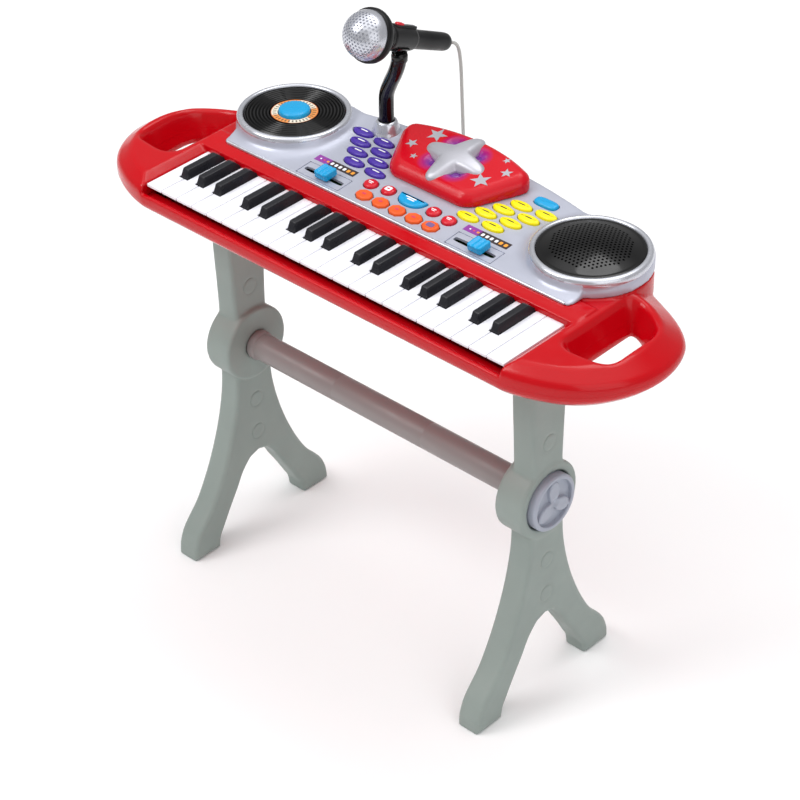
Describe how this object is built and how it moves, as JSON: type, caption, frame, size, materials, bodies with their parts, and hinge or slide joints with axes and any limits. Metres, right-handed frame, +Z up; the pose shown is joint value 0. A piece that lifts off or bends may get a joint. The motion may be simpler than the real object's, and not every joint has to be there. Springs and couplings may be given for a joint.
{
  "type": "toy electronic keyboard",
  "caption": "Child's red electronic keyboard on a two-legged stand, with a turntable disc, speaker, light dome, sliders, buttons and a microphone on a bent arm",
  "frame": {"origin": "on the floor under the middle of the object's box, the microphone cord left out", "axes": "+X to the player's right along the keys, +Y away from the player, +Z up"},
  "size_m": [0.6496, 0.2945, 0.6077],
  "materials": {
    "case_red": "glossy red moulded plastic",
    "panel_silver": "satin silver metallic moulded plastic",
    "dome_red": "glossy red plastic with silver stars and purple lamp wells",
    "key_white": "glossy white moulded plastic",
    "key_black": "satin black moulded plastic",
    "platter_black": "grooved satin black plastic",
    "grille_black": "polished black perforated plastic",
    "button_blue": "glossy sky blue plastic",
    "button_purple": "glossy purple plastic",
    "button_yellow": "glossy yellow plastic",
    "pad_orange": "soft orange plastic",
    "button_red": "glossy red plastic",
    "stand_grey": "fine-textured grey-green blow moulded plastic",
    "crossbar_grey": "grey painted tube",
    "knob_grey": "pale blue-grey moulded plastic",
    "mic_black": "glossy black plastic",
    "cord_grey": "pale grey flexible vinyl"
  },
  "bodies": {
    "frame": {"lower_case": "case_red", "upper_case": "case_red", "control_panel": "panel_silver", "light_dome": "dome_red", "speaker_grille": "grille_black", "left_leg": "stand_grey", "right_leg": "stand_grey", "crossbar": "crossbar_grey", "mic_cord": "cord_grey"},
    "white_key_01": {"white_key_01": "key_white"},
    "white_key_02": {"white_key_02": "key_white"},
    "white_key_03": {"white_key_03": "key_white"},
    "white_key_04": {"white_key_04": "key_white"},
    "white_key_05": {"white_key_05": "key_white"},
    "white_key_06": {"white_key_06": "key_white"},
    "white_key_07": {"white_key_07": "key_white"},
    "white_key_08": {"white_key_08": "key_white"},
    "white_key_09": {"white_key_09": "key_white"},
    "white_key_10": {"white_key_10": "key_white"},
    "white_key_11": {"white_key_11": "key_white"},
    "white_key_12": {"white_key_12": "key_white"},
    "white_key_13": {"white_key_13": "key_white"},
    "white_key_14": {"white_key_14": "key_white"},
    "white_key_15": {"white_key_15": "key_white"},
    "white_key_16": {"white_key_16": "key_white"},
    "white_key_17": {"white_key_17": "key_white"},
    "white_key_18": {"white_key_18": "key_white"},
    "white_key_19": {"white_key_19": "key_white"},
    "white_key_20": {"white_key_20": "key_white"},
    "white_key_21": {"white_key_21": "key_white"},
    "white_key_22": {"white_key_22": "key_white"},
    "black_key_01": {"black_key_01": "key_black"},
    "black_key_02": {"black_key_02": "key_black"},
    "black_key_03": {"black_key_03": "key_black"},
    "black_key_04": {"black_key_04": "key_black"},
    "black_key_05": {"black_key_05": "key_black"},
    "black_key_06": {"black_key_06": "key_black"},
    "black_key_07": {"black_key_07": "key_black"},
    "black_key_08": {"black_key_08": "key_black"},
    "black_key_09": {"black_key_09": "key_black"},
    "black_key_10": {"black_key_10": "key_black"},
    "black_key_11": {"black_key_11": "key_black"},
    "black_key_12": {"black_key_12": "key_black"},
    "black_key_13": {"black_key_13": "key_black"},
    "black_key_14": {"black_key_14": "key_black"},
    "black_key_15": {"black_key_15": "key_black"},
    "rhythm_buttons": {"rhythm_buttons": "button_purple"},
    "tone_buttons": {"tone_buttons": "button_yellow"},
    "drum_pads": {"drum_pads": "pad_orange"},
    "function_buttons": {"function_buttons": "button_red"},
    "power_button": {"power_button": "button_blue"},
    "turntable_button": {"turntable_button": "button_blue"},
    "turntable_platter": {"turntable_platter": "platter_black"},
    "tempo_slider": {"tempo_slider": "button_blue"},
    "volume_slider": {"volume_slider": "button_blue"},
    "left_knob": {"left_knob": "knob_grey"},
    "right_knob": {"right_knob": "knob_grey"},
    "mic_arm": {"mic_arm": "mic_black", "microphone": "mic_black"},
    "mic_switch": {"mic_switch": "button_red"}
  },
  "joints": [
    {"name": "white_key_01_press", "type": "hinge", "parent": "frame", "child": "white_key_01", "pos_m": [-0.21525, -0.0195, 0.43], "axis": [1, 0, 0], "range_deg": [0, 2.4], "stiffness_Nm_per_rad": 0.6, "springref_deg": -2.29},
    {"name": "white_key_02_press", "type": "hinge", "parent": "frame", "child": "white_key_02", "pos_m": [-0.19475, -0.0195, 0.43], "axis": [1, 0, 0], "range_deg": [0, 2.4], "stiffness_Nm_per_rad": 0.6, "springref_deg": -2.29},
    {"name": "white_key_03_press", "type": "hinge", "parent": "frame", "child": "white_key_03", "pos_m": [-0.17425, -0.0195, 0.43], "axis": [1, 0, 0], "range_deg": [0, 2.4], "stiffness_Nm_per_rad": 0.6, "springref_deg": -2.29},
    {"name": "white_key_04_press", "type": "hinge", "parent": "frame", "child": "white_key_04", "pos_m": [-0.15375, -0.0195, 0.43], "axis": [1, 0, 0], "range_deg": [0, 2.4], "stiffness_Nm_per_rad": 0.6, "springref_deg": -2.29},
    {"name": "white_key_05_press", "type": "hinge", "parent": "frame", "child": "white_key_05", "pos_m": [-0.13325, -0.0195, 0.43], "axis": [1, 0, 0], "range_deg": [0, 2.4], "stiffness_Nm_per_rad": 0.6, "springref_deg": -2.29},
    {"name": "white_key_06_press", "type": "hinge", "parent": "frame", "child": "white_key_06", "pos_m": [-0.11275, -0.0195, 0.43], "axis": [1, 0, 0], "range_deg": [0, 2.4], "stiffness_Nm_per_rad": 0.6, "springref_deg": -2.29},
    {"name": "white_key_07_press", "type": "hinge", "parent": "frame", "child": "white_key_07", "pos_m": [-0.09225, -0.0195, 0.43], "axis": [1, 0, 0], "range_deg": [0, 2.4], "stiffness_Nm_per_rad": 0.6, "springref_deg": -2.29},
    {"name": "white_key_08_press", "type": "hinge", "parent": "frame", "child": "white_key_08", "pos_m": [-0.07175, -0.0195, 0.43], "axis": [1, 0, 0], "range_deg": [0, 2.4], "stiffness_Nm_per_rad": 0.6, "springref_deg": -2.29},
    {"name": "white_key_09_press", "type": "hinge", "parent": "frame", "child": "white_key_09", "pos_m": [-0.05125, -0.0195, 0.43], "axis": [1, 0, 0], "range_deg": [0, 2.4], "stiffness_Nm_per_rad": 0.6, "springref_deg": -2.29},
    {"name": "white_key_10_press", "type": "hinge", "parent": "frame", "child": "white_key_10", "pos_m": [-0.03075, -0.0195, 0.43], "axis": [1, 0, 0], "range_deg": [0, 2.4], "stiffness_Nm_per_rad": 0.6, "springref_deg": -2.29},
    {"name": "white_key_11_press", "type": "hinge", "parent": "frame", "child": "white_key_11", "pos_m": [-0.01025, -0.0195, 0.43], "axis": [1, 0, 0], "range_deg": [0, 2.4], "stiffness_Nm_per_rad": 0.6, "springref_deg": -2.29},
    {"name": "white_key_12_press", "type": "hinge", "parent": "frame", "child": "white_key_12", "pos_m": [0.01025, -0.0195, 0.43], "axis": [1, 0, 0], "range_deg": [0, 2.4], "stiffness_Nm_per_rad": 0.6, "springref_deg": -2.29},
    {"name": "white_key_13_press", "type": "hinge", "parent": "frame", "child": "white_key_13", "pos_m": [0.03075, -0.0195, 0.43], "axis": [1, 0, 0], "range_deg": [0, 2.4], "stiffness_Nm_per_rad": 0.6, "springref_deg": -2.29},
    {"name": "white_key_14_press", "type": "hinge", "parent": "frame", "child": "white_key_14", "pos_m": [0.05125, -0.0195, 0.43], "axis": [1, 0, 0], "range_deg": [0, 2.4], "stiffness_Nm_per_rad": 0.6, "springref_deg": -2.29},
    {"name": "white_key_15_press", "type": "hinge", "parent": "frame", "child": "white_key_15", "pos_m": [0.07175, -0.0195, 0.43], "axis": [1, 0, 0], "range_deg": [0, 2.4], "stiffness_Nm_per_rad": 0.6, "springref_deg": -2.29},
    {"name": "white_key_16_press", "type": "hinge", "parent": "frame", "child": "white_key_16", "pos_m": [0.09225, -0.0195, 0.43], "axis": [1, 0, 0], "range_deg": [0, 2.4], "stiffness_Nm_per_rad": 0.6, "springref_deg": -2.29},
    {"name": "white_key_17_press", "type": "hinge", "parent": "frame", "child": "white_key_17", "pos_m": [0.11275, -0.0195, 0.43], "axis": [1, 0, 0], "range_deg": [0, 2.4], "stiffness_Nm_per_rad": 0.6, "springref_deg": -2.29},
    {"name": "white_key_18_press", "type": "hinge", "parent": "frame", "child": "white_key_18", "pos_m": [0.13325, -0.0195, 0.43], "axis": [1, 0, 0], "range_deg": [0, 2.4], "stiffness_Nm_per_rad": 0.6, "springref_deg": -2.29},
    {"name": "white_key_19_press", "type": "hinge", "parent": "frame", "child": "white_key_19", "pos_m": [0.15375, -0.0195, 0.43], "axis": [1, 0, 0], "range_deg": [0, 2.4], "stiffness_Nm_per_rad": 0.6, "springref_deg": -2.29},
    {"name": "white_key_20_press", "type": "hinge", "parent": "frame", "child": "white_key_20", "pos_m": [0.17425, -0.0195, 0.43], "axis": [1, 0, 0], "range_deg": [0, 2.4], "stiffness_Nm_per_rad": 0.6, "springref_deg": -2.29},
    {"name": "white_key_21_press", "type": "hinge", "parent": "frame", "child": "white_key_21", "pos_m": [0.19475, -0.0195, 0.43], "axis": [1, 0, 0], "range_deg": [0, 2.4], "stiffness_Nm_per_rad": 0.6, "springref_deg": -2.29},
    {"name": "white_key_22_press", "type": "hinge", "parent": "frame", "child": "white_key_22", "pos_m": [0.21525, -0.0195, 0.43], "axis": [1, 0, 0], "range_deg": [0, 2.4], "stiffness_Nm_per_rad": 0.6, "springref_deg": -2.29},
    {"name": "black_key_01_press", "type": "hinge", "parent": "frame", "child": "black_key_01", "pos_m": [-0.205, -0.0235, 0.43], "axis": [1, 0, 0], "range_deg": [0, 2.6], "stiffness_Nm_per_rad": 0.4, "springref_deg": -2.86},
    {"name": "black_key_02_press", "type": "hinge", "parent": "frame", "child": "black_key_02", "pos_m": [-0.1845, -0.0235, 0.43], "axis": [1, 0, 0], "range_deg": [0, 2.6], "stiffness_Nm_per_rad": 0.4, "springref_deg": -2.86},
    {"name": "black_key_03_press", "type": "hinge", "parent": "frame", "child": "black_key_03", "pos_m": [-0.164, -0.0235, 0.43], "axis": [1, 0, 0], "range_deg": [0, 2.6], "stiffness_Nm_per_rad": 0.4, "springref_deg": -2.86},
    {"name": "black_key_04_press", "type": "hinge", "parent": "frame", "child": "black_key_04", "pos_m": [-0.123, -0.0235, 0.43], "axis": [1, 0, 0], "range_deg": [0, 2.6], "stiffness_Nm_per_rad": 0.4, "springref_deg": -2.86},
    {"name": "black_key_05_press", "type": "hinge", "parent": "frame", "child": "black_key_05", "pos_m": [-0.1025, -0.0235, 0.43], "axis": [1, 0, 0], "range_deg": [0, 2.6], "stiffness_Nm_per_rad": 0.4, "springref_deg": -2.86},
    {"name": "black_key_06_press", "type": "hinge", "parent": "frame", "child": "black_key_06", "pos_m": [-0.0615, -0.0235, 0.43], "axis": [1, 0, 0], "range_deg": [0, 2.6], "stiffness_Nm_per_rad": 0.4, "springref_deg": -2.86},
    {"name": "black_key_07_press", "type": "hinge", "parent": "frame", "child": "black_key_07", "pos_m": [-0.041, -0.0235, 0.43], "axis": [1, 0, 0], "range_deg": [0, 2.6], "stiffness_Nm_per_rad": 0.4, "springref_deg": -2.86},
    {"name": "black_key_08_press", "type": "hinge", "parent": "frame", "child": "black_key_08", "pos_m": [-0.0205, -0.0235, 0.43], "axis": [1, 0, 0], "range_deg": [0, 2.6], "stiffness_Nm_per_rad": 0.4, "springref_deg": -2.86},
    {"name": "black_key_09_press", "type": "hinge", "parent": "frame", "child": "black_key_09", "pos_m": [0.0205, -0.0235, 0.43], "axis": [1, 0, 0], "range_deg": [0, 2.6], "stiffness_Nm_per_rad": 0.4, "springref_deg": -2.86},
    {"name": "black_key_10_press", "type": "hinge", "parent": "frame", "child": "black_key_10", "pos_m": [0.041, -0.0235, 0.43], "axis": [1, 0, 0], "range_deg": [0, 2.6], "stiffness_Nm_per_rad": 0.4, "springref_deg": -2.86},
    {"name": "black_key_11_press", "type": "hinge", "parent": "frame", "child": "black_key_11", "pos_m": [0.082, -0.0235, 0.43], "axis": [1, 0, 0], "range_deg": [0, 2.6], "stiffness_Nm_per_rad": 0.4, "springref_deg": -2.86},
    {"name": "black_key_12_press", "type": "hinge", "parent": "frame", "child": "black_key_12", "pos_m": [0.1025, -0.0235, 0.43], "axis": [1, 0, 0], "range_deg": [0, 2.6], "stiffness_Nm_per_rad": 0.4, "springref_deg": -2.86},
    {"name": "black_key_13_press", "type": "hinge", "parent": "frame", "child": "black_key_13", "pos_m": [0.123, -0.0235, 0.43], "axis": [1, 0, 0], "range_deg": [0, 2.6], "stiffness_Nm_per_rad": 0.4, "springref_deg": -2.86},
    {"name": "black_key_14_press", "type": "hinge", "parent": "frame", "child": "black_key_14", "pos_m": [0.164, -0.0235, 0.43], "axis": [1, 0, 0], "range_deg": [0, 2.6], "stiffness_Nm_per_rad": 0.4, "springref_deg": -2.86},
    {"name": "black_key_15_press", "type": "hinge", "parent": "frame", "child": "black_key_15", "pos_m": [0.1845, -0.0235, 0.43], "axis": [1, 0, 0], "range_deg": [0, 2.6], "stiffness_Nm_per_rad": 0.4, "springref_deg": -2.86},
    {"name": "rhythm_buttons_press", "type": "slide", "parent": "frame", "child": "rhythm_buttons", "axis": [0, 0.0785, -0.9969], "range_m": [0, 0.0015], "stiffness_N_per_m": 400, "springref_m": -0.001},
    {"name": "tone_buttons_press", "type": "slide", "parent": "frame", "child": "tone_buttons", "axis": [0, 0.0785, -0.9969], "range_m": [0, 0.0015], "stiffness_N_per_m": 400, "springref_m": -0.001},
    {"name": "drum_pads_press", "type": "slide", "parent": "frame", "child": "drum_pads", "axis": [0, 0.0785, -0.9969], "range_m": [0, 0.0015], "stiffness_N_per_m": 400, "springref_m": -0.001},
    {"name": "function_buttons_press", "type": "slide", "parent": "frame", "child": "function_buttons", "axis": [0, 0.0785, -0.9969], "range_m": [0, 0.0015], "stiffness_N_per_m": 400, "springref_m": -0.001},
    {"name": "power_button_press", "type": "slide", "parent": "frame", "child": "power_button", "axis": [0, 0.0785, -0.9969], "range_m": [0, 0.0015], "stiffness_N_per_m": 250, "springref_m": -0.001},
    {"name": "turntable_button_press", "type": "slide", "parent": "frame", "child": "turntable_button", "axis": [0, 0, -1], "range_m": [0, 0.002], "stiffness_N_per_m": 250, "springref_m": -0.001},
    {"name": "turntable_spin", "type": "hinge", "parent": "frame", "child": "turntable_platter", "pos_m": [-0.187, 0.0345, 0.45], "axis": [0, 0, 1], "continuous": true},
    {"name": "tempo_slider_slide", "type": "slide", "parent": "frame", "child": "tempo_slider", "axis": [1, 0, 0], "range_m": [-0.0205, 0.0155]},
    {"name": "volume_slider_slide", "type": "slide", "parent": "frame", "child": "volume_slider", "axis": [1, 0, 0], "range_m": [-0.0235, 0.0125]},
    {"name": "left_knob_turn", "type": "hinge", "parent": "frame", "child": "left_knob", "pos_m": [-0.205, -0.043, 0.2285], "axis": [-1, 0, 0], "range_deg": [0, 90]},
    {"name": "right_knob_turn", "type": "hinge", "parent": "frame", "child": "right_knob", "pos_m": [0.205, -0.043, 0.2285], "axis": [1, 0, 0], "range_deg": [0, 90]},
    {"name": "mic_swivel", "type": "hinge", "parent": "frame", "child": "mic_arm", "pos_m": [-0.1012, 0.0745, 0.455], "axis": [0, 0, 1], "range_deg": [-30, 30], "deforming": ["mic_cord"]},
    {"name": "mic_switch_slide", "type": "slide", "parent": "mic_arm", "child": "mic_switch", "axis": [0, 0.908, -0.419], "range_m": [0, 0.007]}
  ]
}
